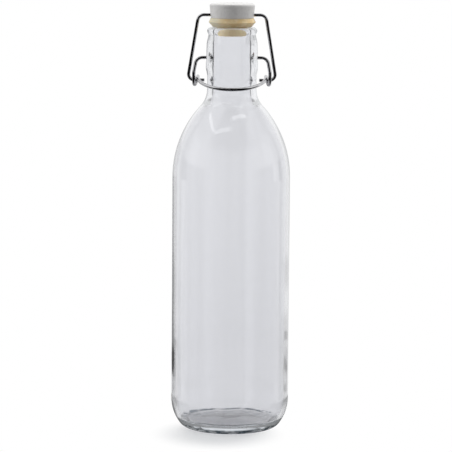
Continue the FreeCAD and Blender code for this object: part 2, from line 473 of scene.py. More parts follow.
@dataclass(frozen=True)
class MouldedPlastic(Finish):
    """Off-white moulded plastic, semi-gloss, with a faint grain and rubbed spots."""

    name: ClassVar[str] = "moulded_plastic"
    fresh: Colour = (0.65, 0.642, 0.635, 1.0)
    rubbed: Colour = (0.57, 0.56, 0.555, 1.0)
    wear: Grain = Grain(420.0, 6.0)
    rubbed_reach: Span = (0.45, 0.75)
    roughness: Span = (0.24, 0.42)
    pits: Grain = Grain(2600.0, 3.0)
    pit_depth: float = 0.000012
    sinks: Grain = Grain(120.0, 2.0)
    sink_depth: float = 0.00004

    def shade(self, graph: Graph) -> Shading:
        """Builds the plastic.

        Args:
            graph: The material's empty tree.

        Returns:
            The surface's socket and no volume.
        """
        place = graph.coordinates()
        sinks = graph.bump(self.sinks.noise(graph, place), self.sink_depth)
        wear = self.wear.noise(graph, place)
        return graph.principled({
            "Base Color": graph.blended(graph.rising(wear, self.rubbed_reach), self.fresh, self.rubbed),
            "Roughness": graph.mapped(wear, self.wear.reach, self.roughness),
            "Subsurface Weight": 0.08,
            "Subsurface Radius": (0.002, 0.002, 0.0018),
            "Subsurface Scale": 1.0,
            "Normal": graph.bump(self.pits.noise(graph, place), self.pit_depth, sinks),
        }), None


@dataclass(frozen=True)
class TanRubber(Finish):
    """Natural tan rubber, matt and a little cloudy, with a powdery sheen, and painted light: a paler left side
    and a brighter, faintly glowing plug.
    """

    name: ClassVar[str] = "tan_rubber"
    body: Colour = (0.77, 0.575, 0.30, 1.0)
    pale: Colour = (0.86, 0.70, 0.45, 1.0)
    clouds: Grain = Grain(260.0, 4.0, (0.4, 0.7))
    # Painted light: the seal turns paler towards this colour on its left side.
    left_light: Colour = (0.71, 0.65, 0.48, 1.0)
    left_light_reach: Span = (-0.0125, -0.004)
    # Painted light: the plug, seen inside the neck, is given this brighter colour and a faint orange glow.
    fresh: Colour = (0.95, 0.86, 0.62, 1.0)
    plug_below: Span = (0.2865, 0.2875)
    glow: Colour = (1.0, 0.67, 0.22, 1.0)
    glow_level: float = 0.17
    pores: Grain = Grain(2200.0, 4.0)
    pore_depth: float = 0.00003
    roughness: Span = (0.45, 0.68)

    def shade(self, graph: Graph) -> Shading:
        """Builds the rubber.

        Args:
            graph: The material's empty tree.

        Returns:
            The surface's socket and no volume.
        """
        place = graph.coordinates()
        x, _, z = graph.parts(place)
        pores = self.pores.noise(graph, place)
        # Painted light on the plug: a brighter colour and a glow below this height.
        plug = graph.falling(z, self.plug_below)
        colour = graph.blended(self.clouds.spread(graph, place), self.body, self.pale)
        # Painted light: paler on the left side.
        colour = graph.blended(graph.falling(x, self.left_light_reach), colour, self.left_light)
        return graph.principled({
            "Base Color": graph.blended(plug, colour, self.fresh),
            "Roughness": graph.mapped(pores, self.pores.reach, self.roughness),
            "Subsurface Weight": 0.15,
            "Subsurface Radius": (0.003, 0.002, 0.001),
            "Subsurface Scale": 1.0,
            "Sheen Weight": 0.15,
            "Emission Color": self.glow,
            "Emission Strength": graph.product(plug, self.glow_level),
            "Normal": graph.bump(pores, self.pore_depth),
        }), None


@dataclass(frozen=True)
class PaleFloor(Finish):
    """White table that takes a soft shadow, partly cast by the lamps and partly painted, and runs out into the
    white surround.
    """

    name: ClassVar[str] = "pale_floor"
    # Painted shadow: near the bottle the table has this darker paint, which fades into white across the fade,
    # round the shadow's middle.
    shadow_paint: Colour = (0.66, 0.665, 0.675, 1.0)
    # Painted shade under the bottle's base, seen through the glass, a little lighter than the painted shadow
    # round it.
    under: Colour = (0.80, 0.80, 0.82, 1.0)
    under_edge: Span = (0.026, 0.036)
    mirrored: float = 0.05
    # Painted shade: seen through glass, the white floor dims to this level beyond the aside span on either
    # side.
    aside: Span = (0.05, 0.085)
    aside_shade: float = 0.55
    shadow_middle: Triple = (-0.008, -0.030, 0.0)
    shadow_shape: Triple = (1.15, 1.0, 1.0)
    fade: Span = (0.018, 0.058)

    def shade(self, graph: Graph) -> Shading:
        """Builds the table's top.

        Args:
            graph: The material's empty tree.

        Returns:
            The surface's socket and no volume.
        """
        place = graph.coordinates()
        through = graph.ray("Is Transmission Ray")
        # Painted shade under the base ends here.
        clear = graph.rising(graph.length(place), self.under_edge)
        painted = graph.principled({
            "Base Color": graph.blended(clear, self.under, self.shadow_paint),
            "Roughness": 0.8,
            "Specular IOR Level": 0.1,
        })
        # Painted shadow: the darker paint shows near the bottle and gives way to white further out.
        shift = {0: place, 1: self.shadow_middle}
        shadow = graph.add("ShaderNodeVectorMath", shift, operation="SUBTRACT").outputs[0]
        beyond = graph.length(graph.stretched(shadow, self.shadow_shape))
        # Painted shade on the floor at the sides, for glass only.
        aside = graph.maths("ABSOLUTE", graph.parts(place)[0])
        white = graph.blended(through, grey(1.0), graph.mapped(aside, self.aside, (1.0, self.aside_shade)))
        seen = graph.product(graph.maths("MAXIMUM", graph.ray("Is Camera Ray"), through), graph.first_hand())
        share = graph.product(graph.rising(beyond, self.fade), seen)
        pale = graph.mixed(share, painted, graph.emission(white))
        mirror = graph.maths("MAXIMUM", graph.maths("SUBTRACT", graph.ray("Is Glossy Ray"), through))
        mirror = graph.product(mirror, graph.first_hand())
        return graph.mixed(mirror, pale, graph.emission(grey(self.mirrored))), None


def straight_steps(path: list[Vector], end: Vector, run: float) -> None:
    """Carries a path on to a point in even steps.

    Args:
        path: The points so far, which grows.
        end: Where the straight run ends.
        run: The longest step.
    """
    start = path[-1]
    length = (end - start).length
    if length < TINY:
        return
    count = math.ceil(length / run)
    path.extend(start.lerp(end, step / count) for step in range(1, count + 1))


def arc_steps(path: list[Vector], centre: Vector, end: Vector, run: float, turn: float) -> None:
    """Carries a path on round a centre.

    Args:
        path: The points so far, which grows.
        centre: The arc's centre.
        end: Where the arc ends.
        run: The longest step.
        turn: The largest angle of one step.
    """
    first = path[-1] - centre
    last = end - centre
    angle = first.angle(last)
    count = max(math.ceil(angle / turn), math.ceil(angle * first.length / run))
    for step in range(1, count + 1):
        share = step / count
        spoke = first * math.sin((1 - share) * angle) + last * math.sin(share * angle)
        path.append(centre + spoke / math.sin(angle))


def rounded_path(corners: Sequence[Vector], bends: Sequence[float], run: float, turn: float) -> list[Vector]:
    """Samples straight runs through corners, with a tangent arc at each inner one.

    Args:
        corners: The corners in order.
        bends: The radius of the arc at each inner corner.
        run: The longest step.
        turn: The largest angle of one step round an arc.

    Returns:
        Points along the path.
    """
    path = [corners[0].copy()]
    for before, corner, after, bend in zip(corners, corners[1:], corners[2:], bends):
        back = (before - corner).normalized()
        ahead = (after - corner).normalized()
        half_turn = (math.pi - back.angle(ahead)) / 2
        reach = bend * math.tan(half_turn)
        straight_steps(path, corner + back * reach, run)
        if bend > 0:
            centre = corner + (back + ahead).normalized() * (bend / math.cos(half_turn))
            arc_steps(path, centre, corner + ahead * reach, run, turn)
    straight_steps(path, corners[-1], run)
    return path


def mirrored(path: Sequence[Vector]) -> list[Vector]:
    """Carries the right half of a path back down the left side."""
    return [Vector((-point.x, point.y, point.z)) for point in reversed(path)]


@dataclass(frozen=True)
class Corner:
    """One corner of a turned outline."""

    radius: float
    height: float
    blend: float = 0.0


def outline(corners: Sequence[Corner], run: float) -> list[Vector]:
    """Samples a turned outline, with the radius in X and the height in Z."""
    points = [Vector((corner.radius, 0.0, corner.height)) for corner in corners]
    return rounded_path(points, [corner.blend for corner in corners[1:-1]], run, OUTLINE_TURN)


def even_angles(count: int) -> list[float]:
    """Divides a full turn evenly."""
    return [math.tau * side / count for side in range(count)]


def waved(waves: Waves, angle: float, height: float = 0.0) -> float:
    """Adds up waves round a shape, each with its share, count, phase and turn of the phase with height."""
    return sum(share * math.sin(count * angle + phase + rise * height) for share, count, phase, rise in waves)


def turned(points: Sequence[Vector], angles: Sequence[float], stray: Optional[Stray] = None) -> Mesh:
    """Turns an outline about Z into a closed mesh.

    Args:
        points: The outline, from the axis out and back to the axis.
        angles: The angles of the mesh's spokes, going up.
        stray: Moves the point of one number at one angle, for marks and unevenness.

    Returns:
        The mesh, in metres.
    """
    shape = bmesh.new()
    rings = []
    for number, point in enumerate(points):
        spokes = [0.0] if point.x < TINY else angles
        ring = []
        for angle in spokes:
            moved = stray(number, angle, point) if stray and point.x >= TINY else point
            ring.append(shape.verts.new(Matrix.Rotation(angle, 3, "Z") @ moved * MM))
        rings.append(ring)
    for ring, above in zip(rings, rings[1:]):
        span = max(len(ring), len(above))
        for side in range(span):
            after = (side + 1) % span
            low = (ring[side % len(ring)], ring[after % len(ring)])
            high = (above[after % len(above)], above[side % len(above)])
            shape.faces.new(list(dict.fromkeys(low + high)))
    return finished_mesh(shape)


def finished_mesh(shape: bmesh.types.BMesh) -> Mesh:
    """Turns the faces outward and frees the working mesh.

    Args:
        shape: The working mesh.

    Returns:
        A mesh made from it.
    """
    bmesh.ops.recalc_face_normals(shape, faces=shape.faces)
    mesh = bpy.data.meshes.new("shape")
    shape.to_mesh(mesh)
    shape.free()
    return mesh


def carved(mesh: Mesh, cutters: Sequence[Mesh]) -> Mesh:
    """Takes other shapes out of a mesh.

    Args:
        mesh: The shape to cut.
        cutters: What is taken out of it.

    Returns:
        A new mesh.
    """
    helpers = [linked("carving", part) for part in (mesh, *cutters)]
    for cutter in helpers[1:]:
        cut = helpers[0].modifiers.new("cut", "BOOLEAN")
        cut.operation = "DIFFERENCE"
        cut.solver = "EXACT"
        cut.object = cutter
    graph = bpy.context.evaluated_depsgraph_get()
    result = bpy.data.meshes.new_from_object(helpers[0].evaluated_get(graph))
    for helper in helpers:
        bpy.data.objects.remove(helper)
    return result


def place_piece(name: str, mesh: Mesh, finish: Finish, node: Node, body: Body) -> None:
    """Puts a piece in the scene, in its solid's place.

    Args:
        name: The piece's name.
        mesh: Its shape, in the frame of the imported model.
        finish: What it is made of.
        node: The solid that it stands for.
        body: The body that carries it.
    """
    mesh.name = name
    mesh.polygons.foreach_set("use_smooth", [True] * len(mesh.polygons))
    mesh.set_sharp_from_angle(angle=SHARP_EDGE)
    mesh.materials.clear()
    mesh.materials.append(finish.material())
    piece = linked(name, mesh)
    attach(piece, body.value)
    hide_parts(node.value)
    LOG.info("%s: %d faces, rides on %s", name, len(mesh.polygons), body.value)


@dataclass
class Bottle:
    """The blown glass bottle, outside and inside, with its dimples, mould seams and knurled foot."""

    body_diameter: float = 84.0
    body_height: float = 181.0
    wall: float = 2.8
    heel_height: float = 21.0
    heel_run: float = 13.0
    heel_tip_radius: float = 9.0
    bearing_width: float = 2.0
    bearing_inner_round: float = 2.0
    push_up: float = 2.5
    floor_thickness: float = 5.0
    floor_fall: float = 1.2
    floor_radius: float = 31.8
    floor_tip_radius: float = 5.0
    shoulder_round: float = 75.0
    neck_diameter: float = 35.2
    neck_flare_round: float = 16.6
    bore_diameter: float = 26.2
    bore_flare_round: float = 14.0
    waist_length: float = 10.4
    collar_diameter: float = 37.5
    collar_top_diameter: float = 36.0
    collar_length: float = 23.0
    collar_step: float = 6.0
    groove_diameter: float = 33.6
    groove_rise: float = 5.6
    bead_diameter: float = 35.5
    bead_rise: float = 2.0
    bead_height: float = 3.2
    lip_outer_round: float = 2.6
    lip_inner_round: float = 1.2
    neck_blend_round: float = 4.0
    groove_round: float = 1.0
    dimple_depth: float = 3.4
    dimple_round: float = 3.2
    socket_radius: float = 1.5
    socket_round: float = 0.3
    dome_spread: float = 0.8
    dimple_run: float = 0.6
    dimple_sides: int = 64
    seam_rise: float = 0.07
    seam_width: float = 0.45
    seam_step: float = math.radians(0.2)
    seam_steps: int = 5
    knurl_depth: float = 0.10
    knurl_count: int = 64
    side_count: int = 256
    baffle_radius: float = 30.4
    baffle_rise: float = 0.5
    baffle_width: float = 1.1
    bore_shift: float = 0.4
    bore_shift_rise: float = 41.6
    wall_waver: float = 0.10
    wall_waves: ClassVar[Waves] = (
        (1.0, 2, 0.6, 0.0), (0.6, 5, 1.9, 0.012), (0.5, 9, -0.7, 0.02), (0.5, 2, 0.0, 0.11))
    heel_waver: float = 0.06
    heel_waves: ClassVar[Waves] = ((1.0, 3, 0.4, 0.0), (0.6, 7, 2.0, 0.0), (0.4, 11, 1.0, 0.0))
    heel_middle: float = 12.0
    heel_reach: float = 8.0
    run: float = 2.4

    def __post_init__(self) -> None:
        """Works out the heights that the sizes give."""
        side, neck, waist = self.shoulder(
            self.body_diameter / 2, self.shoulder_round, self.neck_diameter / 2, self.neck_flare_round)
        self.side_corner = side
        self.neck_corner = neck
        self.collar_base = waist + self.waist_length
        self.collar_top = self.collar_base + self.collar_length
        self.groove_height = self.collar_top + self.groove_rise
        self.lip_height = self.groove_height + self.bead_rise + self.bead_height
        self.foot_radius = self.body_diameter / 2 - self.heel_run

    def shoulder(self, side_radius: float, side_round: float, inner_radius: float, inner_round: float
                 ) -> tuple[Corner, Corner, float]:
        """Finds the corners whose rounds run straight into each other at the shoulder.

        Args:
            side_radius: The body's radius.
            side_round: The round above the body's side.
            inner_radius: The neck's radius.
            inner_round: The round below the neck.

        Returns:
            The corner at the side, the one at the neck, and the height where the neck is upright.
        """
        both = side_round + inner_round
        across = both - (side_radius - inner_radius)
        rise = math.sqrt(both ** 2 - across ** 2)
        share = side_round / both
        touch_radius = side_radius - side_round + across * share
        touch_height = self.body_height + rise * share
        climb = across / rise
        side = Corner(side_radius, touch_height - (side_radius - touch_radius) * climb, side_round)
        neck = Corner(inner_radius, touch_height + (touch_radius - inner_radius) * climb, inner_round)
        return side, neck, self.body_height + rise

    def heel(self, side_radius: float, foot_radius: float, tip: float, base: float) -> tuple[Corner, Corner]:
        """Finds the corners whose rounds run straight into each other at the heel.

        Args:
            side_radius: The upright wall's radius.
            foot_radius: The radius where the flat of the foot ends.
            tip: The round next to the flat.
            base: The height of the flat.

        Returns:
            The corner on the flat and the one at the wall.
        """
        run = side_radius - foot_radius
        rise = self.heel_height - base
        side_round = (run ** 2 + rise ** 2 - 2 * rise * tip) / (2 * (run - tip))
        across = side_round - run
        up = rise - tip
        apart = side_round - tip
        touch_radius = foot_radius + tip * across / apart
        touch_rise = tip - tip * up / apart
        climb = across / up
        foot = Corner(touch_radius - touch_rise / climb, base, tip)
        return foot, Corner(side_radius, base + touch_rise + (side_radius - touch_radius) * climb, side_round)

    def outside(self) -> list[Corner]:
        """Lists the outer corners.

        Returns:
            The corners from the middle of the base to the lip.
        """
        ring_inside = self.foot_radius - self.bearing_width
        dome_radius = ring_inside / 2
        dome_slope = math.atan(self.push_up / (ring_inside - dome_radius))
        heel_foot, heel_side = self.heel(self.body_diameter / 2, self.foot_radius, self.heel_tip_radius, 0.0)
        return [
            Corner(0.0, self.push_up),
            Corner(dome_radius, self.push_up, self.dome_spread * dome_radius / math.tan(dome_slope / 2)),
            Corner(ring_inside, 0.0, self.bearing_inner_round),
            heel_foot,
            heel_side,
            self.side_corner,
            self.neck_corner,
            Corner(self.neck_diameter / 2, self.collar_base, self.neck_blend_round),
            Corner(self.collar_diameter / 2, self.collar_base + self.collar_step, self.neck_blend_round),
            Corner(self.collar_top_diameter / 2, self.collar_top, self.neck_blend_round),
            Corner(self.groove_diameter / 2, self.groove_height, self.groove_round),
            Corner(self.bead_diameter / 2, self.groove_height + self.bead_rise, self.groove_round),
            Corner(self.bead_diameter / 2, self.lip_height, self.lip_outer_round),
        ]

    def inside(self) -> list[Corner]:
        """Lists the inner corners.

        Returns:
            The corners from the lip to the middle of the floor.
        """
        inner_radius = self.body_diameter / 2 - self.wall
        bore_radius = self.bore_diameter / 2
        inner_round = self.shoulder_round - self.wall
        side, neck, _ = self.shoulder(inner_radius, inner_round, bore_radius, self.bore_flare_round)
        floor = self.push_up + self.floor_thickness
        edge = floor - self.floor_fall
        heel_foot, heel_side = self.heel(inner_radius, self.floor_radius, self.floor_tip_radius, edge)
        return [
            Corner(bore_radius, self.lip_height, self.lip_inner_round),
            neck,
            side,
            heel_side,
            heel_foot,
            Corner(self.baffle_radius + self.baffle_width, edge, self.baffle_width),
            Corner(self.baffle_radius, edge + self.baffle_rise, self.baffle_width),
            Corner(self.baffle_radius - self.baffle_width, edge + self.baffle_rise / 4, self.baffle_width),
            Corner(0.0, floor),
        ]

    def spokes(self) -> list[float]:
        """Lists the mesh's angles, close together where the two mould seams run.

        Returns:
            The angles, going up.
        """
        fine = [step * self.seam_step for step in range(-self.seam_steps, self.seam_steps + 1)]
        seams = [seam + shift for seam in (math.pi / 2, 1.5 * math.pi) for shift in fine]
        spread = math.pi / self.side_count
        even = [a for a in even_angles(self.side_count) if all(abs(a - seam) > spread for seam in seams)]
        return sorted(even + seams)

    def inner_marks(self, angle: float, point: Vector) -> Vector:
        """Lets a point of the blown inside stray from a true circle.

        Args:
            angle: Where round the bottle.
            point: The outline's own point.

        Returns:
            The moved point.
        """
        near_heel = math.exp(-((point.z - self.heel_middle) / self.heel_reach) ** 2)
        near_neck = min(1.0, max(0.0, (point.z - self.body_height) / self.bore_shift_rise))
        wall = self.wall_waver * waved(self.wall_waves, angle, point.z)
        heel = self.heel_waver * waved(self.heel_waves, angle)
        stray = wall * (1 - near_heel) + heel * near_heel - self.bore_shift * near_neck * math.cos(angle)
        fading = min(1.0, (self.lip_height - point.z) / self.bore_diameter, point.x / self.bore_diameter)
        moved = point.copy()
        moved.x += stray * fading
        return moved

    def outer_marks(self, angle: float, point: Vector) -> Vector:
        """Adds the mould seams and the knurl under the foot to a point of the outside.

        Args:
            angle: Where round the bottle.
            point: The outline's own point.

        Returns:
            The moved point.
        """
        moved = point.copy()
        off_seam = abs(math.remainder(angle - math.pi / 2, math.pi)) * point.x
        if point.z > self.heel_height / 2:
            moved.x += self.seam_rise * math.exp(-(off_seam / self.seam_width) ** 2)
        on_ring = math.exp(-((point.x - self.foot_radius) / self.bearing_width) ** 2)
        if point.z < self.push_up:
            moved.z += self.knurl_depth * on_ring * (1 + math.cos(self.knurl_count * angle))
        return moved

    def dimple(self, side: float) -> Mesh:
        """Makes the shape that sinks one dimple into the collar.

        Args:
            side: 1 for the right dimple, -1 for the left one.

        Returns:
            The cutter.
        """
        pivot = hinge_place(Hinge.LEVER)
        above_step = self.collar_base + self.collar_step
        share = (pivot.z - above_step) / (self.collar_top - above_step)
        face = (self.collar_diameter + (self.collar_top_diameter - self.collar_diameter) * share) / 2
        mouth = self.socket_radius + 2 * self.dimple_round
        corners = [
            Corner(0.0, face - self.dimple_depth),
            Corner(self.socket_radius, face - self.dimple_depth, self.socket_round),
            Corner(self.socket_radius, face, self.dimple_round),
            Corner(mouth, face),
            Corner(mouth, face + self.dimple_depth),
            Corner(0.0, face + self.dimple_depth),
        ]
        mesh = turned(outline(corners, self.dimple_run), even_angles(self.dimple_sides))
        mesh.transform(Matrix.Translation(pivot * MM) @ Matrix.Rotation(side * math.pi / 2, 4, "Y"))
        return mesh

    def build(self) -> None:
        """Makes the glass and puts it in place."""
        points = outline(self.outside() + self.inside(), self.run)
        lip = max(range(len(points)), key=lambda number: points[number].z)

        def stray(number: int, angle: float, point: Vector) -> Vector:
            """Moves a point of the outside or of the inside."""
            return (self.outer_marks if number <= lip else self.inner_marks)(angle, point)

        mesh = turned(points, self.spokes(), stray)
        mesh = carved(mesh, [self.dimple(side) for side in (1.0, -1.0)])
        place_piece("glass_bottle", mesh, ClearGlass(), Node.BOTTLE, Body.BOTTLE)


@dataclass
class BentWire:
    """Round wire bent to shape."""

    diameter: float = 2.4
    end_round: float = 0.3
    sides: int = 24
    end_turns: ClassVar[tuple[float, ...]] = tuple(math.radians(angle) for angle in (0.0, 30.0, 60.0, 90.0))
    run: float = 0.6
    turn: float = math.radians(6.0)

    def swept(self, path: Sequence[Vector]) -> Mesh:
        """Draws the wire along a path.

        Args:
            path: The middle line.

        Returns:
            The wire's mesh, with lengths along and angles round it in a UV map.
        """
        stations = self.stations(path)
        shape = bmesh.new()
        uv = shape.loops.layers.uv.new(DrawnWire.uv_map)
        rings = []
        for middle, across, up, radius, _ in stations:
            spokes = [across * math.cos(a) + up * math.sin(a) for a in even_angles(self.sides)]
            rings.append([shape.verts.new((middle + spoke * radius) * MM) for spoke in spokes])
        for number, (ring, after) in enumerate(zip(rings, rings[1:])):
            lengths = (stations[number][4], stations[number + 1][4])
            for side in range(self.sides):
                beside = (side + 1) % self.sides
                face = shape.faces.new((ring[side], ring[beside], after[beside], after[side]))
                places = ((0, side), (0, side + 1), (1, side + 1), (1, side))
                for loop, (end, turn) in zip(face.loops, places):
                    loop[uv].uv = (lengths[end] * MM, turn / self.sides)
        shape.faces.new(rings[0][::-1])
        shape.faces.new(rings[-1])
        return finished_mesh(shape)

    def stations(self, path: Sequence[Vector]) -> list[Ring]:
        """Carries a pair of cross directions along a path and rounds its two ends.

        Args:
            path: The middle line.

        Returns:
            For each ring its middle, two cross directions, radius and length along.
        """
        ways = [(b - a).normalized() for a, b in zip(path, path[1:])]
        ways = [ways[0], *((a + b).normalized() for a, b in zip(ways, ways[1:])), ways[-1]]
        across = ways[0].orthogonal().normalized()
        full = self.diameter / 2
        length = 0.0
        rings = []
        for number, (middle, way) in enumerate(zip(path, ways)):
            across = (across - way * across.dot(way)).normalized()
            length += (middle - path[number - 1]).length if number else 0.0
            rings.append((middle, across, way.cross(across), full, length))
        head = [self.end_ring(rings[0], ways[0], angle) for angle in self.end_turns]
        tail = [self.end_ring(rings[-1], -ways[-1], angle) for angle in reversed(self.end_turns)]
        inner = [r for r in rings if self.end_round < r[4] < length - self.end_round]
        return head + inner + tail

    def end_ring(self, ring: Ring, inward: Vector, angle: float) -> Ring:
        """Moves a ring in from a cut end and shrinks it, to round the end's edge.

        Args:
            ring: The ring at the cut end.
            inward: The way from the end into the wire.
            angle: How far round the edge, from the end's face.

        Returns:
            The ring on the rounded edge.
        """
        middle, across, up, full, length = ring
        depth = self.end_round * (1 - math.cos(angle))
        radius = full - self.end_round * (1 - math.sin(angle))
        return middle + inward * depth, across, up, radius, length


@dataclass
class Lever(BentWire):
    """The wire lever: two pins, two arms, two eyes and a round handle."""

    pin_end: float = 15.372
    arm_reach: float = 27.0
    arm_splay: float = 2.0
    arm_bend: float = 5.0
    knee_rise: float = 6.0
    knee_bend: float = 15.0
    eye_inner_diameter: float = 3.6
    hook_clearance: float = 0.3
    eye_side_gap: float = 0.5
    handle_slope: float = math.radians(16.5)
    handle_lead: float = 1.5
    eye_steps: int = 56

    def __post_init__(self) -> None:
        """Works out where the eyes and the handle are."""
        self.pivot = hinge_place(Hinge.LEVER)
        hooks = hinge_place(Hinge.HOOKS)
        self.over_centre = hooks.y
        self.eye_radius = (self.eye_inner_diameter + self.diameter) / 2
        self.eye_height = hooks.z - (self.eye_inner_diameter / 2 - self.diameter / 2 - self.hook_clearance)
        self.handle_reach = self.arm_reach - self.diameter - self.eye_side_gap

    def lean(self) -> float:
        """Works out how far the arms lean to run straight into the eyes.

        Returns:
            The angle from upright.
        """
        drop = self.pivot.z - self.eye_height
        slant = math.atan2(self.over_centre, drop)
        return math.asin(self.eye_radius / math.hypot(self.over_centre, drop)) - slant

    def eye_point(self, share: float) -> Vector:
        """Finds a point along the eye, which winds back under the hook and over it.

        Args:
            share: How far along the eye, from 0 to 1.

        Returns:
            The point.
        """
        lean = self.lean()
        turn = -lean + (1.5 * math.pi + self.handle_slope + lean) * share
        shift = (self.arm_reach - self.handle_reach) * (1 - math.cos(math.pi * share)) / 2
        return Vector((
            self.arm_reach - shift,
            self.over_centre - self.eye_radius * math.cos(turn),
            self.eye_height - self.eye_radius * math.sin(turn),
        ))

    def half_path(self) -> list[Vector]:
        """Lists the right half of the middle line.

        Returns:
            Points from the pin's end to the front of the handle.
        """
        eye = [self.eye_point(step / self.eye_steps) for step in range(self.eye_steps + 1)]
        start = Vector((self.pin_end, 0.0, self.pivot.z))
        top = Vector((self.arm_reach - self.arm_splay, 0.0, self.pivot.z))
        lean = self.lean()
        knee = eye[0] + Vector((0.0, math.sin(lean), math.cos(lean))) * self.knee_rise
        path = rounded_path([start, top, knee, eye[0]], [self.arm_bend, self.knee_bend], self.run, self.turn)
        path.extend(eye[1:])
        forward = Vector((0.0, -math.cos(self.handle_slope), -math.sin(self.handle_slope)))
        straight_steps(path, eye[-1] + forward * self.handle_lead, self.run)
        centre = Vector((0.0, path[-1].y, path[-1].z))
        arc_steps(path, centre, centre + forward * self.handle_reach, self.run, self.turn)
        return path

    def build(self) -> None:
        """Makes the lever and puts it in place."""
        half = self.half_path()
        mesh = self.swept(half + mirrored(half[:-1]))
        place_piece("bent_lever", mesh, DrawnWire(), Node.LEVER, Body.LEVER)


@dataclass
class Bail(BentWire):
    """The wire bail: two hooks, two legs and the bar through the head."""

    hook_end: float = 19.4
    foot_reach: float = 31.4
    top_reach: float = 23.8
    foot_bend: float = 4.0
    top_bend: float = 4.5

    def build(self) -> None:
        """Makes the bail and puts it in place."""
        hooks = hinge_place(Hinge.HOOKS)
        bar = hinge_place(Hinge.BAR)
        right = [
            Vector((self.hook_end, hooks.y, hooks.z)),
            Vector((self.foot_reach, hooks.y, hooks.z)),
            Vector((self.top_reach, bar.y, bar.z)),
        ]
        bends = [self.foot_bend, self.top_bend, self.top_bend, self.foot_bend]
        mesh = self.swept(rounded_path(right + mirrored(right), bends, self.run, self.turn))
        place_piece("bent_bail", mesh, DrawnWire(), Node.BAIL, Body.BAIL)


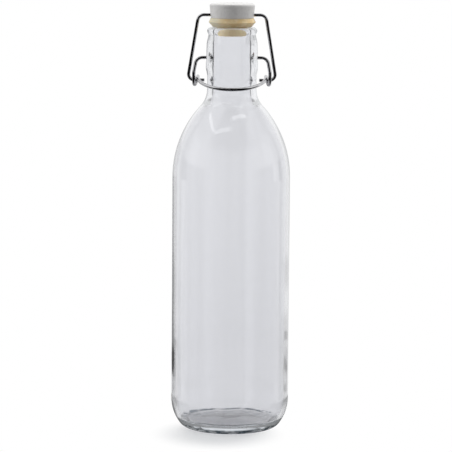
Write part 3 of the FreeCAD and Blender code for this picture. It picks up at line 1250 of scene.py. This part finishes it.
@dataclass
class Stopper:
    """The moulded head with its barbed stem, and the rubber seal pushed onto it."""

    flange_base_diameter: float = 27.4
    flange_tip_diameter: float = 33.6
    flange_tip_height: float = 3.6
    flange_tip_round: float = 0.5
    plug_length: float = 7.1
    plug_root_diameter: float = 21.8
    plug_tip_diameter: float = 18.0
    plug_tip_round: float = 2.0
    flash_rise: float = 0.12
    seal_run: float = 0.7
    seal_waver: float = 0.06
    sag_waves: ClassVar[Waves] = ((1.0, 3, 0.5, 0.0), (0.5, 7, 0.0, 0.0))
    sag_start: float = 0.7
    head_top_diameter: float = 32.4
    head_base_diameter: float = 30.4
    head_crown: float = 0.5
    head_edge_round: float = 1.6
    head_base_round: float = 0.5
    dome_spread: float = 0.8
    gate_radius: float = 1.5
    gate_depth: float = 0.15
    hole_radius: float = 1.3
    hole_flare: float = 0.35
    hole_run: float = 1.0
    hole_sides: int = 48
    stem_diameter: float = 6.4
    stem_length: float = 10.6
    barb_diameter: float = 8.2
    barb_height: float = 2.6
    barb_undercut: float = 0.4
    stem_clearance: float = 0.05
    head_run: float = 0.8
    side_count: int = 144

    def __post_init__(self) -> None:
        """Takes the heights from the solids."""
        seal_low, seal_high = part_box(Node.SEAL.value)
        _, head_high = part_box(Node.HEAD.value)
        self.head_base = seal_high.z / MM
        self.head_top = head_high.z / MM
        self.flange_base = seal_low.z / MM + self.plug_length

    def stem(self, clearance: float) -> list[Corner]:
        """Lists the stem's corners.

        Args:
            clearance: How far the stem is grown, for the hole that takes it.

        Returns:
            The corners from its root to its tip.
        """
        tip = self.head_base - self.stem_length
        barb_top = tip + self.barb_height
        thin = self.stem_diameter / 2 + clearance
        return [
            Corner(thin, self.head_base),
            Corner(thin, barb_top + self.barb_undercut + clearance),
            Corner(self.barb_diameter / 2 + clearance, barb_top + clearance),
            Corner(thin, tip - clearance, self.barb_undercut),
            Corner(0.0, tip - clearance),
        ]

    def head_corners(self) -> list[Corner]:
        """Lists the head's corners.

        Returns:
            The corners from the gate mark on its top to the tip of its stem.
        """
        top_radius = self.head_top_diameter / 2
        dome_radius = top_radius / 2
        slope = math.atan(self.head_crown / (top_radius - dome_radius))
        gate_floor = self.head_top - self.gate_depth
        return [
            Corner(0.0, gate_floor),
            Corner(self.gate_radius - self.gate_depth, gate_floor, self.gate_depth / 3),
            Corner(self.gate_radius, self.head_top, self.gate_depth / 3),
            Corner(dome_radius, self.head_top, self.dome_spread * dome_radius / math.tan(slope / 2) / 2),
            Corner(top_radius, self.head_top - self.head_crown, self.head_edge_round),
            Corner(self.head_base_diameter / 2, self.head_base, self.head_base_round),
            *self.stem(0.0),
        ]

    def cross_hole(self) -> Mesh:
        """Makes the shape that bores the head for the bail's bar, with softened mouths.

        Returns:
            The cutter.
        """
        bar = hinge_place(Hinge.BAR)
        rise = (bar.z - self.head_base) / (self.head_top - self.head_crown - self.head_base)
        face = (self.head_base_diameter + (self.head_top_diameter - self.head_base_diameter) * rise) / 2
        mouth = self.hole_radius + self.hole_flare
        outer = face + self.hole_flare * 3
        corners = [
            Corner(0.0, -outer),
            Corner(mouth, -outer),
            Corner(mouth, -face),
            Corner(self.hole_radius, self.hole_flare - face, self.hole_flare / 2),
            Corner(self.hole_radius, face - self.hole_flare, self.hole_flare / 2),
            Corner(mouth, face),
            Corner(mouth, outer),
            Corner(0.0, outer),
        ]
        mesh = turned(outline(corners, self.hole_run), even_angles(self.hole_sides))
        mesh.transform(Matrix.Translation(bar * MM) @ Matrix.Rotation(math.pi / 2, 4, "Y"))
        return mesh

    def build_head(self) -> None:
        """Makes the moulded head and puts it in place."""
        mesh = turned(outline(self.head_corners(), self.head_run), even_angles(self.side_count))
        mesh = carved(mesh, [self.cross_hole()])
        place_piece("moulded_head", mesh, MouldedPlastic(), Node.HEAD, Body.STOPPER)

    def seal_corners(self) -> list[Corner]:
        """Lists the seal's corners.

        Returns:
            The corners from under its plug, over the flange and into the hole for the stem.
        """
        plug_base = self.flange_base - self.plug_length
        tip_radius = self.flange_tip_diameter / 2
        tip_height = self.flange_base + self.flange_tip_height
        flash = self.flash_rise
        return [
            Corner(0.0, plug_base),
            Corner(self.plug_tip_diameter / 2, plug_base, self.plug_tip_round),
            Corner(self.plug_root_diameter / 2, self.flange_base, self.flange_tip_round),
            Corner(self.flange_base_diameter / 2, self.flange_base, self.flange_tip_round),
            Corner(tip_radius - flash, tip_height - flash, self.flange_tip_round / 2),
            Corner(tip_radius, tip_height, flash),
            Corner(tip_radius - 2 * flash, tip_height + flash, self.flange_tip_round / 2),
            Corner(self.head_base_diameter / 2, self.head_base),
            *self.stem(self.stem_clearance),
        ]

    def sagged(self, number: int, angle: float, point: Vector) -> Vector:
        """Lets the soft flange sag a little unevenly.

        Args:
            number: The point's number, which makes no difference here.
            angle: Where round the seal.
            point: The outline's own point.

        Returns:
            The moved point.
        """
        moved = point.copy()
        outward = max(0.0, 2 * point.x / self.flange_tip_diameter - self.sag_start)
        moved.z += self.seal_waver * outward * waved(self.sag_waves, angle)
        return moved

    def build_seal(self) -> None:
        """Makes the rubber seal and puts it in place."""
        points = outline(self.seal_corners(), self.seal_run)
        mesh = turned(points, even_angles(self.side_count), self.sagged)
        place_piece("rubber_seal", mesh, TanRubber(), Node.SEAL, Body.STOPPER)

    def build(self) -> None:
        """Makes the head and the seal."""
        self.build_head()
        self.build_seal()


def facing(place: Triple, aim: Triple, roll: float) -> Euler:
    """Gives the rotation of a lamp or a camera that stands at a place, faces a point and is rolled."""
    toward = (Vector(aim) - Vector(place)).to_track_quat("-Z", "Y").to_matrix()
    return (toward @ Matrix.Rotation(roll, 3, "Z")).to_euler()


@dataclass
class Softbox:
    """A rectangular lamp. One that lights the scene faces the bottle, and one that is mirrored faces down."""

    side: str
    role: Role
    place: Triple
    size: Span
    level: float
    turn: float = 0.0
    aim: ClassVar[Triple] = (0.0, 0.0, 0.17)
    power: ClassVar[float] = 4.0

    def build(self) -> None:
        """Hangs the lamp, with its power set by how bright its face is."""
        name = f"{self.side}_{self.role.value}"
        lights = self.role is Role.LIGHT
        lamp = bpy.data.lights.new(name, "AREA")
        lamp.shape = "RECTANGLE"
        lamp.size, lamp.size_y = self.size
        lamp.energy = self.power * self.level * self.size[0] * self.size[1]
        hung = linked(name, lamp)
        hung.visible_diffuse = lights
        hung.visible_glossy = hung.visible_transmission = not lights
        hung.location = self.place
        aim = self.aim if lights else (self.place[0], self.place[1], 0.0)
        hung.rotation_euler = facing(self.place, aim, math.radians(self.turn))


@dataclass
class Studio:
    """The floor, the white surround with its dark gaps, the lamps and the camera."""

    ambient: float = 0.41
    floor_radius: float = 0.13
    floor_sides: int = 96
    # How far the rays climb that meet each part of the surround: 1 is straight up, -1 straight down.
    rising_climb: Span = (0.35, 0.6)
    rising_level: float = 0.25
    falling_climb: Span = (-0.6, -0.35)
    falling_level: float = 0.6
    high_climb: Span = (0.08, 0.16)
    shoulder_climb: Span = (-0.112, -0.100)
    body_climb: Span = (-0.165, -0.150)
    card_climb: float = -0.1830
    card_edge: Span = (0.003, 0.0055)
    card_level: float = 0.02
    camera_place: Triple = (0.0, -1.955, 0.4125)
    camera_aim: Triple = (-0.0034, 0.0, 0.1454)
    camera_roll: float = math.radians(0.40)
    camera_reach: Span = (0.1, 20.0)
    focal_length: float = 219.8
    lamps: ClassVar[Sequence[Softbox]] = (
        Softbox("top", Role.LIGHT, (0.30, 0.50, 1.15), (0.9, 0.9), 3.8),
        Softbox("left", Role.LIGHT, (-1.0, 0.05, 0.45), (0.35, 0.8), 5.4),
        Softbox("right", Role.LIGHT, (1.0, 0.05, 0.45), (0.35, 0.8), 2.8),
        Softbox("right", Role.MIRRORED, (0.33, -0.34, 1.25), (0.62, 0.10), 1.15, turn=26.0),
        Softbox("left", Role.MIRRORED, (-0.38, -0.65, 1.10), (0.70, 0.13), 0.95, turn=-6.0),
        Softbox("tall", Role.MIRRORED, (-0.64, -0.17, 0.98), (0.10, 0.58), 1.0),
    )

    # Levels round the compass, which is 0.5 straight behind the bottle, 0.25 on its left and 0.75 right.
    # What glass shows: white walls, with a dark gap at each corner behind the bottle.
    left_walls: ClassVar[Stops] = (
        (0.0, 1.0), (0.14, 1.0), (0.18, 0.7), (0.20, 0.7), (0.24, 1.0), (0.31, 1.0))
    right_walls: ClassVar[Stops] = (
        (0.69, 1.0), (0.76, 1.0), (0.80, 0.7), (0.82, 0.7), (0.86, 1.0), (1.0, 1.0))
    body_walls: ClassVar[Stops] = (
        *left_walls, (0.330, 0.15), (0.340, 0.15), (0.365, 0.85), (0.400, 0.90), (0.410, 0.92), (0.450, 0.92),
        (0.472, 1.0), (0.535, 1.0), (0.550, 0.80), (0.600, 0.75), (0.63, 0.85), (0.66, 0.15), (0.67, 0.15),
        *right_walls)
    neck_walls: ClassVar[Stops] = (
        *left_walls, (0.330, 0.20), (0.338, 0.20), (0.355, 0.95), (0.43, 0.95), (0.46, 1.0),
        (0.567, 1.0), (0.597, 0.95), (0.645, 0.95), (0.662, 0.20), (0.67, 0.20), *right_walls)
    # What polish mirrors: dark in front and white behind, from the upright body, from the neck and the wires
    # with a panel on their right, and from what faces up.
    dark: ClassVar[float] = 0.004
    body_gloss: ClassVar[Stops] = (
        (0.0, dark), (0.25, dark), (0.285, 1.0), (0.36, 1.0), (0.375, 0.08), (0.45, 0.08), (0.47, 1.0),
        (0.49, 1.0), (0.51, 0.72), (0.60, 0.72), (0.63, 1.0), (0.71, 1.0), (0.745, dark), (1.0, dark))
    neck_gloss: ClassVar[Stops] = (
        (0.0, dark), (0.305, dark), (0.333, 1.0), (0.36, 1.0), (0.375, 0.35), (0.45, 0.35), (0.47, 1.0),
        (0.49, 1.0), (0.51, 0.65), (0.59, 0.65), (0.61, 1.0), (0.667, 1.0), (0.69, dark), (0.70, dark),
        (0.71, 1.2), (0.74, 1.2), (0.75, dark), (1.0, dark))
    high_gloss: ClassVar[Stops] = (
        (0.0, dark), (0.12, dark), (0.17, 1.0), (0.83, 1.0), (0.88, dark), (1.0, dark))
    # The share of the two dark cards that stand low behind the bottle's sides.
    card_sides: ClassVar[Stops] = (
        (0.0, 0.0), (0.38, 0.0), (0.40, 0.3), (0.455, 0.3), (0.467, 0.0),
        (0.55, 0.0), (0.56, 0.45), (0.60, 0.45), (0.62, 0.0), (1.0, 0.0))

    def seen_through(self, graph: Graph, compass: Socket, climb: Socket) -> Socket:
        """Gives what glass shows of the surround.

        Args:
            graph: The world's tree.
            compass: The rays' compass angle.
            climb: How far the rays climb.

        Returns:
            The level.
        """
        neck, body = (graph.ramp(compass, stops) for stops in (self.neck_walls, self.body_walls))
        level = graph.blended(graph.falling(climb, self.body_climb), neck, body)
        level = graph.blended(graph.rising(climb, self.rising_climb), level, grey(self.rising_level))
        return graph.blended(graph.falling(climb, self.falling_climb), level, grey(self.falling_level))

    def seen_mirrored(self, graph: Graph, compass: Socket, climb: Socket) -> Socket:
        """Gives what polish mirrors of the surround.

        Args:
            graph: The world's tree.
            compass: The rays' compass angle.
            climb: How far the rays climb.

        Returns:
            The level.
        """
        kinds = (self.neck_gloss, self.body_gloss, self.high_gloss)
        neck, body, high = (graph.ramp(compass, stops) for stops in kinds)
        level = graph.blended(graph.falling(climb, self.shoulder_climb), neck, body)
        return graph.blended(graph.rising(climb, self.high_climb), level, high)

    def build_surround(self) -> None:
        """Makes the world: an even soft light, and what glass, gloss and the camera see in it."""
        world = bpy.data.worlds.new("white_surround")
        world.use_nodes = True
        bpy.context.scene.world = world
        world.cycles.sampling_method = "NONE"
        graph = Graph(world.node_tree)
        x, y, climb = graph.parts(graph.coordinates("Generated"))
        compass = graph.maths("ADD", graph.product(graph.maths("ARCTAN2", x, y), 1 / math.tau), 0.5)
        off_card = graph.maths("ABSOLUTE", graph.maths("SUBTRACT", climb, self.card_climb))
        cards = graph.product(graph.falling(off_card, self.card_edge), graph.ramp(compass, self.card_sides))
        seen = grey(self.ambient)
        views = {"Is Glossy Ray": self.seen_mirrored, "Is Transmission Ray": self.seen_through}
        for kind, view in views.items():
            level = graph.blended(cards, view(graph, compass, climb), grey(self.card_level))
            seen = graph.blended(graph.product(graph.ray(kind), graph.first_hand()), seen, level)
        seen = graph.blended(graph.ray("Is Camera Ray"), seen, grey(1.0))
        light = graph.add("ShaderNodeBackground", {"Color": seen}).outputs[0]
        graph.add("ShaderNodeOutputWorld", {"Surface": light})

    def build_floor(self) -> None:
        """Lays the pale floor."""
        shape = bmesh.new()
        bmesh.ops.create_circle(shape, cap_ends=True, segments=self.floor_sides, radius=self.floor_radius)
        mesh = finished_mesh(shape)
        mesh.materials.append(PaleFloor().material())
        floor = linked("pale_floor", mesh)

    def build_camera(self) -> None:
        """Sets the camera up where the photograph was taken from."""
        lens = bpy.data.cameras.new("camera")
        lens.lens = self.focal_length
        lens.clip_start, lens.clip_end = self.camera_reach
        camera = linked("camera", lens)
        camera.location = self.camera_place
        camera.rotation_euler = facing(self.camera_place, self.camera_aim, self.camera_roll)
        bpy.context.scene.camera = camera

    def build(self) -> None:
        """Sets up the whole studio."""
        bpy.context.scene.view_settings.view_transform = "Standard"
        self.build_surround()
        self.build_floor()
        for lamp in self.lamps:
            lamp.build()
        self.build_camera()


def main() -> None:
    """Builds the pieces in order, then the studio."""
    logging.basicConfig(level=logging.INFO)
    for assembly in (Bottle(), Lever(), Bail(), Stopper()):
        LOG.info("building %s", type(assembly).__name__)
        assembly.build()
    Studio().build()


if __name__ == "__main__":
    main()
